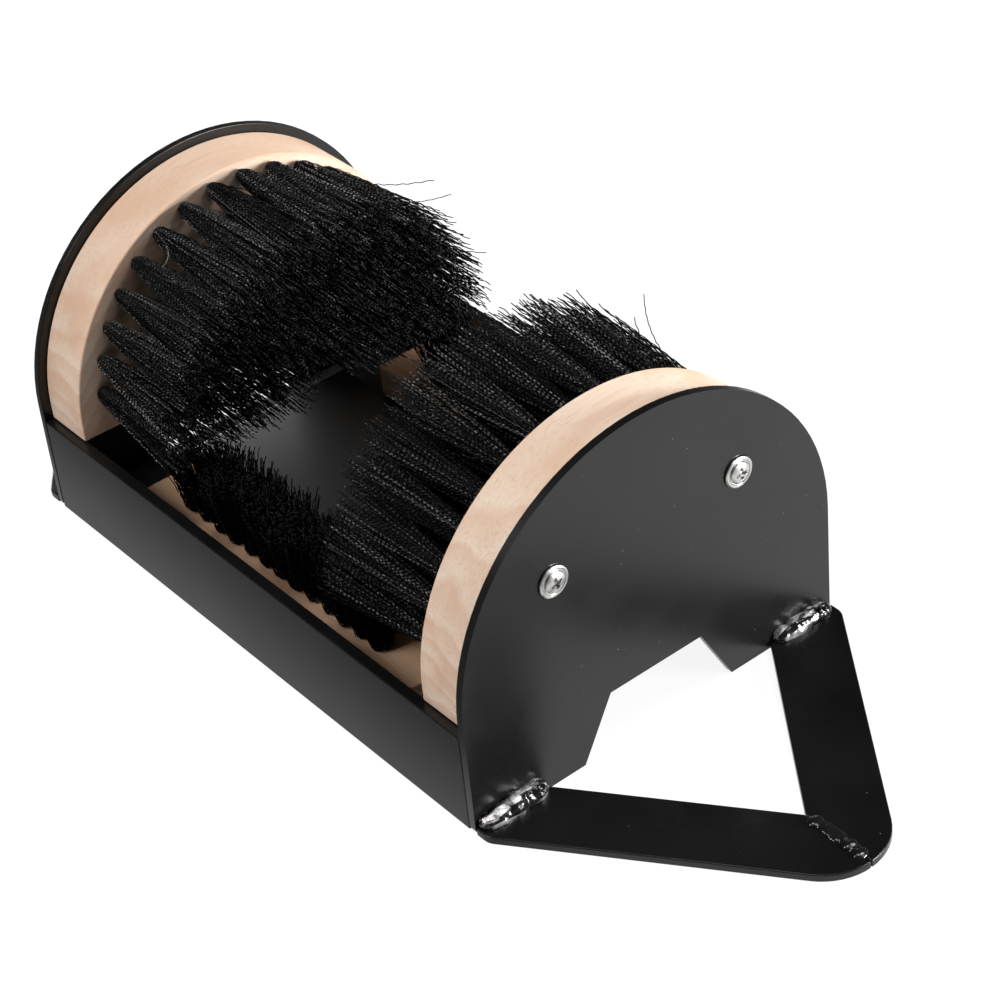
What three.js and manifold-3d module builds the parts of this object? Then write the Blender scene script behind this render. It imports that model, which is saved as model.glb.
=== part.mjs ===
// Boot scraper. A welded steel frame on two V-shaped outriggers holds two half-round side
// brushes and two narrow bottom brushes, all with black nylon tufts set in wooden backs.
// Millimetres, +Z up. The origin is on the floor under the middle of the frame. X runs from
// end plate to end plate, and the front strip is on the -Y side.

import * as THREE from 'three';
import { mergeVertices } from 'three/addons/utils/BufferGeometryUtils.js';
import Module from 'manifold-3d';

const wasm = await Module();
wasm.setup();

// Driving dimensions
const GAP = 0.3; // left between pieces that touch
const FRAME = { length: 253, depth: 160 }; // over the end plates, and over the strips
const PLATE = { thickness: 3, shoulder: 45.6, corner: 2 }; // the half circle starts at the shoulder
const NOTCH = { height: 23.8, topWidth: 40.2, bottomWidth: 66.2 };
const STRIP = { height: 39.5, thickness: 4.5 };
const BASE = { length: 212.4, thickness: 2, top: 11.5, lip: 6, bend: 3 };
const OUTRIGGER = { reach: 114.8, spread: 168.8, width: 26.7, thickness: 3, tip: 22.5, heel: 6 };
const BLOCK = { radius: 76.6, thickness: 22.5 };
const BOARD = { length: 158.6, width: 33.7, top: 25 };
const SLICE = 2; // the thickness of wood that stays with the tufts
const SIDE_TUFTS = { reach: 56, middle: 51.5, outerRadius: 66.3, ringStep: 12.5, pitch: 13.1, lowest: 57.3 };
const SIDE_FAN = { strands: 3, root: 1.9, tip: 4.3, radius: 1.6 };
const BOTTOM_TUFTS = { top: 50.6, count: 13, pitch: 9.2, frontRow: 60, margin: 5 };
const BOTTOM_FAN = { strands: 2, root: 1.6, tip: 2.9, radius: 1.4 };
const SIDE_SCREW = { across: 39.6, height: 82.3, shank: 2.1, reach: 18.5, point: 2.5 };
const CROSS_RECESS = { length: 5.2, width: 1, depth: 1.6 };
const BOARD_SCREW = { along: 50, shank: 1.9, reach: 12, point: 2, head: 4.5 };
const HOLE_CLEARANCE = 0.3;
const FOOT_WELD = { length: 27, middle: 65.3, leg: 5.5, bumps: 5 };
const MITRE_WELD = { start: 198.5, length: 25, halfWidth: 3.6, height: 1.5, bumps: 5 };
const CORNER_WELD = { length: 30, foot: 4, leg: 3.5, bumps: 4 };
const BASE_WELD = { length: 26, middle: 78, leg: 3, bumps: 4 };

const HALF_LENGTH = FRAME.length / 2;
const HALF_DEPTH = FRAME.depth / 2;
const STRIP_INNER = HALF_DEPTH - STRIP.thickness;
const PLATE_INNER = HALF_LENGTH - PLATE.thickness;
const BASE_UNDER = BASE.top - BASE.thickness;
const BLOCK_BOTTOM = STRIP.height + GAP;
const BLOCK_INNER = PLATE_INNER - GAP - BLOCK.thickness;
const BOARD_MIDDLE = STRIP_INNER - GAP - BOARD.width / 2;
const CUT = 1; // how far a cutter runs past the face that it opens

const COATED_STEEL = { color: 0x1c1c1d, roughness: 0.45, metalness: 0.1 };
const WOOD = { color: 0xe3cbb0, roughness: 0.7, metalness: 0 };
const NYLON = { color: 0x0c0c0d, roughness: 0.4, metalness: 0 };
const BRIGHT_ZINC = { color: 0xc8c8c6, roughness: 0.25, metalness: 1 };
const WELD_METAL = { color: 0x3a3a3b, roughness: 0.3, metalness: 0.6 };

const RIGHT = new THREE.Vector3(1, 0, 0);
const BACK = new THREE.Vector3(0, 1, 0);
const UP = new THREE.Vector3(0, 0, 1);

function piece(name, geometry, finish) {
  const mesh = new THREE.Mesh(geometry, new THREE.MeshStandardMaterial(finish));
  mesh.name = name;
  return mesh;
}

// Adds the points of an arc to an outline, with both of its ends.
function addArc(outline, x, y, radius, from, to, steps) {
  for (let step = 0; step <= steps; step += 1) {
    const angle = from + ((to - from) * step) / steps;
    outline.lineTo(x + radius * Math.cos(angle), y + radius * Math.sin(angle));
  }
}

function extruded(outline, depth) {
  return new THREE.ExtrudeGeometry(outline, { depth, bevelEnabled: false });
}

// An outline drawn with Y to the right and Z up becomes a solid that runs along +X.
function extrudedAlongX(outline, depth) {
  return extruded(outline, depth).applyMatrix4(new THREE.Matrix4().makeBasis(BACK, UP, RIGHT));
}

// Rings with the same number of points, turned the same way, become one closed solid.
function lofted(rings) {
  const sides = rings[0].length;
  const last = (rings.length - 1) * sides;
  const index = [];
  for (let low = 0; low < last; low += sides) {
    for (let side = 0; side < sides; side += 1) {
      const next = (side + 1) % sides;
      const high = low + sides;
      index.push(low + side, low + next, high + next);
      index.push(low + side, high + next, high + side);
    }
  }
  for (let side = 1; side < sides - 1; side += 1) {
    index.push(0, side + 1, side);
    index.push(last, last + side, last + side + 1);
  }
  const geometry = new THREE.BufferGeometry();
  const points = rings.flat().flatMap((point) => point.toArray());
  geometry.setAttribute('position', new THREE.Float32BufferAttribute(points, 3));
  geometry.setIndex(index);
  return geometry;
}

function solidOf(geometry) {
  const bare = geometry.clone();
  bare.deleteAttribute('normal');
  bare.deleteAttribute('uv');
  const merged = mergeVertices(bare, 1e-4);
  const vertProperties = Float32Array.from(merged.attributes.position.array);
  const triVerts = Uint32Array.from(merged.index.array);
  return new wasm.Manifold(new wasm.Mesh({ numProp: 3, vertProperties, triVerts }));
}

function geometryOf(solid) {
  const { vertProperties, triVerts } = solid.getMesh();
  const geometry = new THREE.BufferGeometry();
  geometry.setAttribute('position', new THREE.Float32BufferAttribute(vertProperties, 3));
  geometry.setIndex(Array.from(triVerts));
  return geometry;
}

function withCuts(geometry, cutters) {
  return geometryOf(cutters.reduce((solid, cutter) => solid.subtract(solidOf(cutter)), solidOf(geometry)));
}

function drillAlongX(radius, fromX, toX, y, z) {
  const drill = new THREE.CylinderGeometry(radius, radius, toX - fromX, 12);
  return drill.rotateZ(Math.PI / 2).translate((fromX + toX) / 2, y, z);
}

function drillAlongZ(radius, fromZ, toZ, x, y) {
  const drill = new THREE.CylinderGeometry(radius, radius, toZ - fromZ, 12);
  return drill.rotateX(Math.PI / 2).translate(x, y, (fromZ + toZ) / 2);
}

// Steel frame

function endPlateOutline() {
  const { shoulder, corner } = PLATE;
  const outline = new THREE.Shape();
  outline.moveTo(HALF_DEPTH, shoulder);
  addArc(outline, 0, shoulder, HALF_DEPTH, 0, Math.PI, 44);
  addArc(outline, corner - HALF_DEPTH, corner, corner, Math.PI, 1.5 * Math.PI, 3);
  outline.lineTo(-NOTCH.bottomWidth / 2, 0);
  outline.lineTo(-NOTCH.topWidth / 2, NOTCH.height);
  outline.lineTo(NOTCH.topWidth / 2, NOTCH.height);
  outline.lineTo(NOTCH.bottomWidth / 2, 0);
  addArc(outline, HALF_DEPTH - corner, corner, corner, 1.5 * Math.PI, 2 * Math.PI, 3);
  return outline;
}

function sideScrewHoles(fromX, toX) {
  const { shank, across, height } = SIDE_SCREW;
  return [-1, 1].map((flank) => drillAlongX(shank + HOLE_CLEARANCE, fromX, toX, flank * across, height));
}

function endPlate() {
  const plate = extrudedAlongX(endPlateOutline(), PLATE.thickness).translate(PLATE_INNER, 0, 0);
  return withCuts(plate, sideScrewHoles(PLATE_INNER - CUT, HALF_LENGTH + CUT));
}

function strip() {
  const bar = new THREE.BoxGeometry(2 * (PLATE_INNER - GAP), STRIP.thickness, STRIP.height);
  return bar.translate(0, -HALF_DEPTH + STRIP.thickness / 2, STRIP.height / 2);
}

// The base is one sheet with both ends folded down. Its outline has X to the right and Z up.
function basePlate() {
  const { length, thickness, top, lip, bend } = BASE;
  const half = length / 2;
  const centreX = half - bend;
  const centreZ = top - bend;
  const quarter = Math.PI / 2;
  const outline = new THREE.Shape();
  outline.moveTo(half, top - lip);
  addArc(outline, centreX, centreZ, bend, 0, quarter, 4);
  addArc(outline, -centreX, centreZ, bend, quarter, 2 * quarter, 4);
  outline.lineTo(-half, top - lip);
  outline.lineTo(thickness - half, top - lip);
  addArc(outline, -centreX, centreZ, bend - thickness, 2 * quarter, quarter, 3);
  addArc(outline, centreX, centreZ, bend - thickness, quarter, 0, 3);
  outline.lineTo(half - thickness, top - lip);
  const width = 2 * (STRIP_INNER - GAP);
  const sheet = extruded(outline, width).rotateX(Math.PI / 2).translate(0, width / 2, 0);
  const rows = [-BOARD_MIDDLE, BOARD_MIDDLE];
  return withCuts(sheet, rows.flatMap((y) => boardScrewHoles(BASE_UNDER - CUT, top + CUT, y)));
}

function boardScrewHoles(fromZ, toZ, y) {
  const { shank, along } = BOARD_SCREW;
  return [-1, 1].map((side) => drillAlongZ(shank + HOLE_CLEARANCE, fromZ, toZ, side * along, y));
}

// One arm of the V that lies on the floor outside an end plate, for the +Y side of the +X end.
function outrigger() {
  const { reach, spread, width, thickness, tip, heel } = OUTRIGGER;
  const slope = Math.atan(spread / 2 / reach);
  const outwards = Math.PI / 2 - slope; // the direction that the outer edge faces
  const apexX = HALF_LENGTH + reach;
  const startX = HALF_LENGTH + GAP;
  const mitre = GAP / 2;
  const heelY = HALF_DEPTH - heel;
  const heelX = apexX - (heelY + heel / Math.cos(slope)) / Math.tan(slope);
  const outline = new THREE.Shape();
  outline.moveTo(startX, (apexX - startX) * Math.tan(slope) - width / Math.cos(slope));
  outline.lineTo(apexX - width / Math.sin(slope) - mitre / Math.tan(slope), mitre);
  addArc(outline, apexX - tip / Math.sin(slope), 0, tip, Math.asin(mitre / tip), outwards, 8);
  addArc(outline, heelX, heelY, heel, outwards, Math.PI / 2, 4);
  outline.lineTo(startX, HALF_DEPTH);
  return extruded(outline, thickness);
}

// How much a weld bead swells at a place from 0 to 1 along it. It is thin at both ends.
function beadSwell(along, bumps, depth) {
  const taper = Math.min(1, 0.4 + 3 * Math.min(along, 1 - along));
  return taper * (1 + depth * Math.sin(2 * Math.PI * bumps * along));
}

// A lumpy bead that runs along +Y in the corner between a wall at x = 0 and a floor at z = 0.
function cornerBead({ length, leg, bumps }) {
  const steps = bumps * 4;
  const turns = 3;
  const rings = [];
  for (let step = 0; step <= steps; step += 1) {
    const along = step / steps;
    const radius = leg * beadSwell(along, bumps, 0.16);
    const ring = [new THREE.Vector3(0, along * length, 0)];
    for (let turn = 0; turn <= turns; turn += 1) {
      const angle = (turn / turns) * (Math.PI / 2);
      ring.push(new THREE.Vector3(radius * Math.cos(angle), along * length, radius * Math.sin(angle)));
    }
    rings.push(ring.reverse());
  }
  return lofted(rings);
}

// The low bead that runs along +X over the mitre where the two arms of a V meet.
function mitreBead({ length, halfWidth, height, bumps }) {
  const steps = bumps * 4;
  const turns = 5;
  const rings = [];
  for (let step = 0; step <= steps; step += 1) {
    const along = step / steps;
    const swell = beadSwell(along, bumps, 0.2);
    const ring = [];
    for (let turn = 0; turn <= turns; turn += 1) {
      const angle = (turn / turns) * Math.PI;
      const across = halfWidth * swell * Math.cos(angle);
      ring.push(new THREE.Vector3(along * length, across, height * swell * Math.sin(angle)));
    }
    rings.push(ring);
  }
  return lofted(rings);
}

// Turns a corner bead so that it runs along `run`. Its two legs then lie along `side` and
// along the direction that makes a right-handed set with them.
function turnBead(bead, side, run) {
  const third = new THREE.Vector3().crossVectors(side, run);
  bead.quaternion.setFromRotationMatrix(new THREE.Matrix4().makeBasis(side, run, third));
}

// Wooden backs

function blockOutline() {
  const outline = new THREE.Shape();
  outline.moveTo(BLOCK.radius, BLOCK_BOTTOM);
  addArc(outline, 0, PLATE.shoulder, BLOCK.radius, 0, Math.PI, 40);
  outline.lineTo(-BLOCK.radius, BLOCK_BOTTOM);
  return outline;
}

function sideBlock() {
  const start = BLOCK_INNER + SLICE + GAP;
  const depth = BLOCK.thickness - SLICE - GAP;
  const block = extrudedAlongX(blockOutline(), depth).translate(start, 0, 0);
  return withCuts(block, sideScrewHoles(HALF_LENGTH - SIDE_SCREW.reach - GAP, PLATE_INNER + CUT));
}

// The bed under the bottom tufts, or with a margin round it, the pocket that the bed lies in.
function tuftBed(around, low, high) {
  const { count, pitch, frontRow, margin } = BOTTOM_TUFTS;
  const length = (count - 1) * pitch + 2 * (margin + around);
  const width = pitch + 2 * (margin + around);
  const bed = new THREE.BoxGeometry(length, width, high - low);
  return bed.translate(0, pitch / 2 - frontRow, (low + high) / 2);
}

function bottomBoard() {
  const low = BASE.top + GAP;
  const board = new THREE.BoxGeometry(BOARD.length, BOARD.width, BOARD.top - low);
  board.translate(0, -BOARD_MIDDLE, (low + BOARD.top) / 2);
  const holes = boardScrewHoles(low - CUT, BASE_UNDER + BOARD_SCREW.reach + GAP, -BOARD_MIDDLE);
  return withCuts(board, [...holes, tuftBed(GAP, BOARD.top - SLICE - GAP, BOARD.top + CUT)]);
}

// Tufts

// The three-sided strands of one tuft start close together and fan out.
function tuftStrands(root, direction, length, fan, turn) {
  const across = direction.equals(UP) ? RIGHT : new THREE.Vector3().crossVectors(UP, direction);
  const away = new THREE.Vector3().crossVectors(direction, across);
  const place = (centre, radius, angle) => centre.clone()
    .addScaledVector(across, radius * Math.cos(angle))
    .addScaledVector(away, radius * Math.sin(angle));
  const tip = root.clone().addScaledVector(direction, length);
  const strands = [];
  for (let strand = 0; strand < fan.strands; strand += 1) {
    const angle = turn + (strand / fan.strands) * 2 * Math.PI;
    const centres = [place(root, fan.root, angle), place(tip, fan.tip, angle)];
    strands.push(lofted(centres.map((centre) => (
      [0, 1, 2].map((corner) => place(centre, fan.radius, angle + (corner / 3) * 2 * Math.PI))
    ))));
  }
  return strands;
}

function fusedBrush(slice, strands) {
  return geometryOf(strands.reduce((solid, strand) => solid.add(solidOf(strand)), solidOf(slice)));
}

// Rings of tufts inside the round edge of the block, down to the lowest row.
function sideTuftPlaces() {
  const { middle, outerRadius, ringStep, pitch, lowest } = SIDE_TUFTS;
  const rise = lowest - middle;
  const places = [];
  for (let radius = outerRadius; radius > rise; radius -= ringStep) {
    const first = Math.asin(rise / radius);
    const span = Math.PI - 2 * first;
    const steps = Math.round((span * radius) / pitch);
    for (let step = 0; step <= steps; step += 1) {
      const angle = first + (span * step) / steps;
      places.push({ y: radius * Math.cos(angle), z: middle + radius * Math.sin(angle), angle });
    }
  }
  return places;
}

function sideBrush() {
  const slice = extrudedAlongX(blockOutline(), SLICE).translate(BLOCK_INNER, 0, 0);
  const inwards = RIGHT.clone().negate();
  const depth = SLICE / 2; // how deep the strands are set in the slice
  const strands = sideTuftPlaces().flatMap(({ y, z, angle }) => {
    const root = new THREE.Vector3(BLOCK_INNER + depth, y, z);
    return tuftStrands(root, inwards, SIDE_TUFTS.reach + depth, SIDE_FAN, angle);
  });
  return fusedBrush(slice, strands);
}

// Two staggered rows on the board behind the front strip.
function bottomBrush() {
  const { top, count, pitch, frontRow } = BOTTOM_TUFTS;
  const bed = tuftBed(0, BOARD.top - SLICE, BOARD.top);
  const rootZ = BOARD.top - SLICE / 2;
  const strands = [];
  for (let row = 0; row < 2; row += 1) {
    for (let tuft = 0; tuft < count - row; tuft += 1) {
      const x = (tuft - (count - 1 - row) / 2) * pitch;
      const root = new THREE.Vector3(x, row * pitch - frontRow, rootZ);
      strands.push(...tuftStrands(root, UP, top - rootZ, BOTTOM_FAN, Math.PI / 2));
    }
  }
  return fusedBrush(bed, strands);
}

// Screws. Each points down, with the underside of its head at y = 0.

function turned(profile, segments) {
  const points = profile.map(([radius, height]) => new THREE.Vector2(radius, height));
  return new THREE.LatheGeometry(points, segments);
}

// A pan head on a wide flange, with a cross recess.
function sideScrew() {
  const { shank, reach, point } = SIDE_SCREW;
  const top = 3.3;
  const shaft = [[0, -reach - GAP], [shank, point - reach - GAP], [shank, 0]];
  const head = [[5.8, 0], [5.9, 0.6], [4.5, 1.2], [4, 2.4], [2.4, 3.1], [0, top]];
  const { length, width, depth } = CROSS_RECESS;
  const slots = [0, Math.PI / 2].map((angle) => (
    new THREE.BoxGeometry(length, 2 * depth, width).rotateY(angle).translate(0, top, 0)
  ));
  return withCuts(turned([...shaft, ...head], 18), slots);
}

function boardScrew() {
  const { shank, reach, point, head } = BOARD_SCREW;
  const shaft = [[0, -reach - GAP], [shank, point - reach - GAP], [shank, 0]];
  return turned([...shaft, [head, 0], [head, 0.8], [head * 0.7, 2.2], [0, 2.6]], 12);
}

// Assembly

// Everything at one end. It is drawn for the +X end, and turned half way round for the other.
function endGroup(side) {
  const group = new THREE.Group();
  group.rotation.z = side === 'right' ? 0 : Math.PI;
  group.add(piece(`${side}_end_plate`, endPlate(), COATED_STEEL));
  group.add(piece(`${side}_brush_block`, sideBlock(), WOOD));
  group.add(piece(`${side}_brush_tufts`, sideBrush(), NYLON));

  for (const flank of [-1, 1]) {
    const place = (flank < 0) === (side === 'right') ? 'front' : 'rear';
    const arm = piece(`${side}_${place}_outrigger`, outrigger(), COATED_STEEL);
    if (flank < 0) {
      arm.rotation.x = Math.PI;
      arm.position.z = OUTRIGGER.thickness;
    }

    const foot = piece(`${side}_${place}_foot_weld`, cornerBead(FOOT_WELD), WELD_METAL);
    const footStart = flank * FOOT_WELD.middle - FOOT_WELD.length / 2;
    foot.position.set(HALF_LENGTH + GAP, footStart, OUTRIGGER.thickness + GAP);

    const corner = piece(`${side}_${place}_corner_weld`, cornerBead(CORNER_WELD), WELD_METAL);
    turnBead(corner, flank < 0 ? RIGHT.clone().negate() : BACK.clone().negate(), UP);
    corner.position.set(PLATE_INNER - GAP, flank * (STRIP_INNER - GAP), CORNER_WELD.foot);

    const screw = piece(`${side}_${place}_block_screw`, sideScrew(), BRIGHT_ZINC);
    screw.rotation.z = -Math.PI / 2;
    screw.position.set(HALF_LENGTH + GAP, flank * SIDE_SCREW.across, SIDE_SCREW.height);
    group.add(arm, foot, corner, screw);
  }

  const mitre = piece(`${side}_mitre_weld`, mitreBead(MITRE_WELD), WELD_METAL);
  mitre.position.set(MITRE_WELD.start, 0, OUTRIGGER.thickness + GAP);
  group.add(mitre);
  return group;
}

// One strip with its brush. It is drawn for the front, and turned half way round for the rear.
function longGroup(place) {
  const group = new THREE.Group();
  group.rotation.z = place === 'front' ? 0 : Math.PI;
  group.add(piece(`${place}_strip`, strip(), COATED_STEEL));
  group.add(piece(`${place}_brush_board`, bottomBoard(), WOOD));
  group.add(piece(`${place}_brush_tufts`, bottomBrush(), NYLON));

  for (const end of [-1, 1]) {
    const side = (end < 0) === (place === 'front') ? 'left' : 'right';
    const screw = piece(`${place}_${side}_board_screw`, boardScrew(), BRIGHT_ZINC);
    screw.rotation.x = -Math.PI / 2;
    screw.position.set(end * BOARD_SCREW.along, -BOARD_MIDDLE, BASE_UNDER - GAP);

    const stitch = piece(`${place}_${side}_base_weld`, cornerBead(BASE_WELD), WELD_METAL);
    turnBead(stitch, BACK, RIGHT);
    const stitchStart = end * BASE_WELD.middle - BASE_WELD.length / 2;
    stitch.position.set(stitchStart, -STRIP_INNER + GAP, BASE_UNDER - GAP);
    group.add(screw, stitch);
  }
  return group;
}

const bootScraper = new THREE.Group();
bootScraper.add(endGroup('right'), endGroup('left'));
bootScraper.add(longGroup('front'), longGroup('rear'));
bootScraper.add(piece('base_plate', basePlate(), COATED_STEEL));

export default bootScraper;
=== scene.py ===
"""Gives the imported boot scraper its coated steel, wooden backs, bristles, screws and welds."""

import math

import bmesh
import bpy
from bpy.props import FloatProperty, FloatVectorProperty, IntProperty, PointerProperty
from mathutils import Matrix, Vector


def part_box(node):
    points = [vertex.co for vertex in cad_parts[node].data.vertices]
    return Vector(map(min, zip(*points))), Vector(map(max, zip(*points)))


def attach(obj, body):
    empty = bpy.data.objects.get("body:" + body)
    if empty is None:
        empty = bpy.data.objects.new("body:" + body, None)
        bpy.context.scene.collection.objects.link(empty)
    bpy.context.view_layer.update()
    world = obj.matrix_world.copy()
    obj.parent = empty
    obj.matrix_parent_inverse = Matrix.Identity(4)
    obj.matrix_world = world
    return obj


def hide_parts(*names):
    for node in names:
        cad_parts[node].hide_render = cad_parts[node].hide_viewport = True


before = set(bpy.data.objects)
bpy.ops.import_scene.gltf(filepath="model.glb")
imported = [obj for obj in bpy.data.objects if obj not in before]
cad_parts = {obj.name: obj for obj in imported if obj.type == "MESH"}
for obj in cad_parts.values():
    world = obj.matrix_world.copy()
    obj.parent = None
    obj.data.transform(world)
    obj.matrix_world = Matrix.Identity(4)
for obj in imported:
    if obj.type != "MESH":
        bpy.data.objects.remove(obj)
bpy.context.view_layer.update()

bl_info = {
    "name": "Boot Scraper",
    "version": (1, 0, 0),
    "blender": (4, 5, 0),
    "location": "3D View > Sidebar > Boot Scraper",
    "description": "Makes the steel frame, wooden backs, brushes, screws and welds of a boot scraper",
    "category": "Object",
}

MM = 0.001
SIDES = {"right": 1, "left": -1}
ENDS = {"front": -1, "rear": 1}
AXIS_X = Vector((1.0, 0.0, 0.0))
AXIS_Y = Vector((0.0, 1.0, 0.0))
AXIS_Z = Vector((0.0, 0.0, 1.0))
WHOLE_TURN = 2 * math.pi
GOLDEN_ANGLE = math.pi * (3 - math.sqrt(5))

PLATE_FACE, HALF_DEPTH, PLATE_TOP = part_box("right_end_plate")[1]
SHOULDER = PLATE_TOP - HALF_DEPTH
BLOCK_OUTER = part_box("right_brush_block")[1].x
BLOCK_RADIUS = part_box("right_brush_block")[1].y
BLOCK_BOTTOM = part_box("right_brush_block")[0].z
ARM_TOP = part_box("right_front_outrigger")[1].z


# Settings that a user may change

def size(name, description, millimetres):
    return FloatProperty(
        name=name, description=description, default=millimetres * MM, precision=5, unit="LENGTH")


def share(name, description, default):
    return FloatProperty(name=name, description=description, default=default, subtype="FACTOR")


def colour(name, description, default):
    return FloatVectorProperty(
        name=name, description=description, default=default, subtype="COLOR", min=0.0, max=1.0)


def count(name, description, default):
    return IntProperty(name=name, description=description, default=default, min=1)


class SteelSettings(bpy.types.PropertyGroup):
    rounding: size("Edge Rounding", "Radius that the coat leaves on the cut edges", 0.5)
    coat: colour("Coat", "Colour of the powder coat", (0.003, 0.003, 0.0031))
    roughness: share("Roughness", "Roughness of the powder coat", 0.28)
    sheet_coat: colour("Sheet Coat", "Colour of the coat on the base plate", (0.009, 0.009, 0.0093))
    sheet_roughness: share("Sheet Roughness", "Roughness of the coat on the base plate", 0.5)


class WoodSettings(bpy.types.PropertyGroup):
    thickness: size("Side Thickness", "Thickness of the half-round side blocks", 22.5)
    rounding: size("Edge Rounding", "Radius that sanding leaves on the edges", 0.7)
    block: colour("Block Wood", "Colour of the side blocks between the grain lines", (0.83, 0.665, 0.53))
    block_grain: colour("Block Grain", "Colour of the grain in the side blocks", (0.68, 0.40, 0.25))
    scorch: colour("Scorched Edge", "Colour where the saw scorched an edge", (0.50, 0.24, 0.11))
    board: colour("Board Wood", "Colour of the bottom boards between the grain lines", (0.64, 0.42, 0.27))
    board_grain: colour("Board Grain", "Colour of the grain in the bottom boards", (0.42, 0.23, 0.13))


class SideBrushSettings(bpy.types.PropertyGroup):
    middle: size("Middle", "Height of the middle of the rings", 51.5)
    outer_radius: size("Outer Ring", "Radius of the outermost ring of tufts", 66.3)
    ring_step: size("Ring Step", "Distance between two rings of tufts", 12.5)
    pitch: size("Pitch", "Distance between two tufts in a ring", 13.1)
    lowest: size("Lowest Row", "Height of the lowest row of tufts", 57.3)
    reach: size("Reach", "How far the bristles stand out of the wood", 56.0)
    root: size("Root Radius", "Radius of a tuft where it leaves the wood", 2.2)
    tip: size("Tip Radius", "Radius of a tuft at its tips", 8.6)
    filaments: count("Filaments", "Number of filaments in a tuft", 72)
    steps: count("Crimps", "Number of straight steps along a filament", 20)
    wander: size("Wander", "How far a tip strays from its place", 1.8)


class BottomBrushSettings(bpy.types.PropertyGroup):
    tufts: count("Tufts", "Number of tufts in the front row", 13)
    pitch: size("Pitch", "Distance between two tufts, and between the rows", 9.2)
    front_row: size("Front Row", "Distance of the front row from the middle", 60.0)
    top: size("Top", "Height of the tips over the floor", 50.6)
    root: size("Root Radius", "Radius of a tuft where it leaves the wood", 3.6)
    tip: size("Tip Radius", "Radius of a tuft at its tips", 7.0)
    filaments: count("Filaments", "Number of filaments in a tuft", 84)
    steps: count("Crimps", "Number of straight steps along a filament", 12)
    wander: size("Wander", "How far a tip strays from its place", 4.2)


class BristleSettings(bpy.types.PropertyGroup):
    depth: size("Root Depth", "How deep the filaments stand in the wood", 1.0)
    thickness: size("Thickness", "Diameter of one nylon filament", 0.44)
    crimp: size("Crimp", "How far the crimp throws a filament to each side", 0.25)
    crimp_length: size("Crimp Length", "Length of one crimp along a filament", 2.05)
    unevenness: share("Unevenness", "Share of the length by which filaments differ", 0.06)
    nylon: colour("Nylon", "Colour of the filaments", (0.0012, 0.0012, 0.0013))
    # Painted glint: colour painted on the brightest crests of the crimp in place of the light that glints
    # there.
    painted_glint: colour("Crests", "Colour of the brightest crests of the crimp", (0.43, 0.43, 0.43))
    # Painted glint and painted shade: a dimmer copy of that colour for the bottom brushes.
    shaded_painted_glint: colour("Low Crests", "The same colour in the bottom brushes", (0.06, 0.06, 0.06))
    cut: colour("Cut Ends", "Colour of the cut ends of the filaments", (0.06, 0.06, 0.06))
    strays: count("Stray Filaments", "Number of filaments that stray from each outer tuft", 3)
    stray_wander: size("Stray Wander", "How far the tip of a stray filament leaves its tuft", 21.0)


class ScrewSettings(bpy.types.PropertyGroup):
    across: size("Block Screws Across", "Distance of a block screw from the middle", 39.6)
    height: size("Block Screw Height", "Height of a block screw over the floor", 82.3)
    flange: size("Flange Radius", "Radius of the wide flange of a block screw", 5.9)
    head: size("Head Height", "Height of the domed head over the plate", 2.2)
    along: size("Board Screws Along", "Distance of a board screw from the middle", 50.0)
    plating: colour("Plating", "Colour of the zinc plating", (0.56, 0.55, 0.54))


class WeldSettings(bpy.types.PropertyGroup):
    foot_radius: size("Foot Weld Size", "Radius of the blobs in a foot weld", 4.4)
    mitre_radius: size("Mitre Weld Size", "Radius of the blobs in a mitre weld", 2.6)
    hidden_radius: size("Inner Weld Size", "Radius of the blobs in the welds inside the frame", 2.3)
    far_gap: size("Far Weld Gap", "How much shorter the foot welds of the left end are", 7.0)
    crater: size("Crater Size", "Radius of the crater where a foot weld ends", 1.7)
    coat: colour("Coat", "Colour of the coat over the weld", (0.008, 0.008, 0.0085))
    # Painted highlight in part: this pale colour stands for uncoated metal and also for the highlight on
    # the bead.
    metal_and_highlight: colour("Bare Metal", "Colour where the coat is thin on the weld", (0.52, 0.50, 0.51))


class StudioSettings(bpy.types.PropertyGroup):
    place: FloatVectorProperty(
        name="Camera Place", description="Where the camera stands",
        default=(0.67544, -0.45238, 0.63467), subtype="XYZ", unit="LENGTH")
    aim: FloatVectorProperty(
        name="Camera Aim", description="The point in the middle of the picture",
        default=(0.04756, 0.00044, 0.05), subtype="XYZ", unit="LENGTH")
    roll: FloatProperty(
        name="Camera Roll", description="How far the camera leans", default=math.radians(-6.07),
        unit="ROTATION")
    lens: FloatProperty(name="Lens", description="Focal length in millimetres", default=101.48)
    floor: colour("Floor", "Colour of the floor", (0.54, 0.54, 0.54))
    ceiling: colour("Ceiling", "Colour of the dark upper surround", (0.04, 0.04, 0.041))


SETTINGS = {
    "boot_scraper_steel": SteelSettings,
    "boot_scraper_wood": WoodSettings,
    "boot_scraper_side_brush": SideBrushSettings,
    "boot_scraper_bottom_brush": BottomBrushSettings,
    "boot_scraper_bristle": BristleSettings,
    "boot_scraper_screw": ScrewSettings,
    "boot_scraper_weld": WeldSettings,
    "boot_scraper_studio": StudioSettings,
}


# Node trees

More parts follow.
